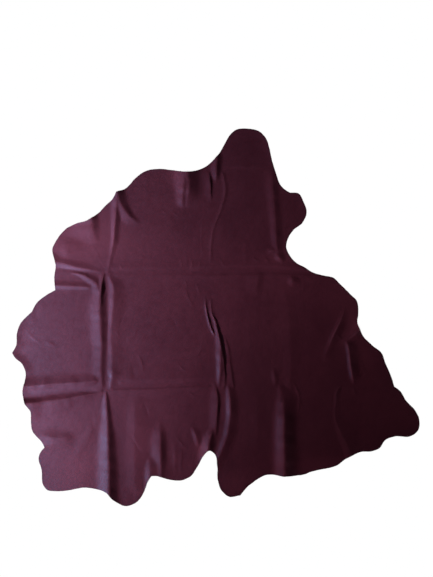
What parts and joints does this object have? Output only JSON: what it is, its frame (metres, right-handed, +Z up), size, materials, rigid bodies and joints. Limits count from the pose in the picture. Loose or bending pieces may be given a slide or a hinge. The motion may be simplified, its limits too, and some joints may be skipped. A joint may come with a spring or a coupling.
{
  "type": "leather hide",
  "caption": "Whole upholstery leather hide in wine red, with its natural cut outline and the raised creases of its folded pack, laid out flat.",
  "frame": {"origin": "on the floor under the middle of the hide's bounding box", "axes": "+Z up out of the grain side, +Y towards the neck, +X across the hide towards its longer flank"},
  "size_m": [2.4008, 2.2264, 0.0291],
  "materials": {
    "wine_leather": "satin full grain, dyed through"
  },
  "bodies": {
    "root": {"hide": "wine_leather"}
  },
  "joints": []
}
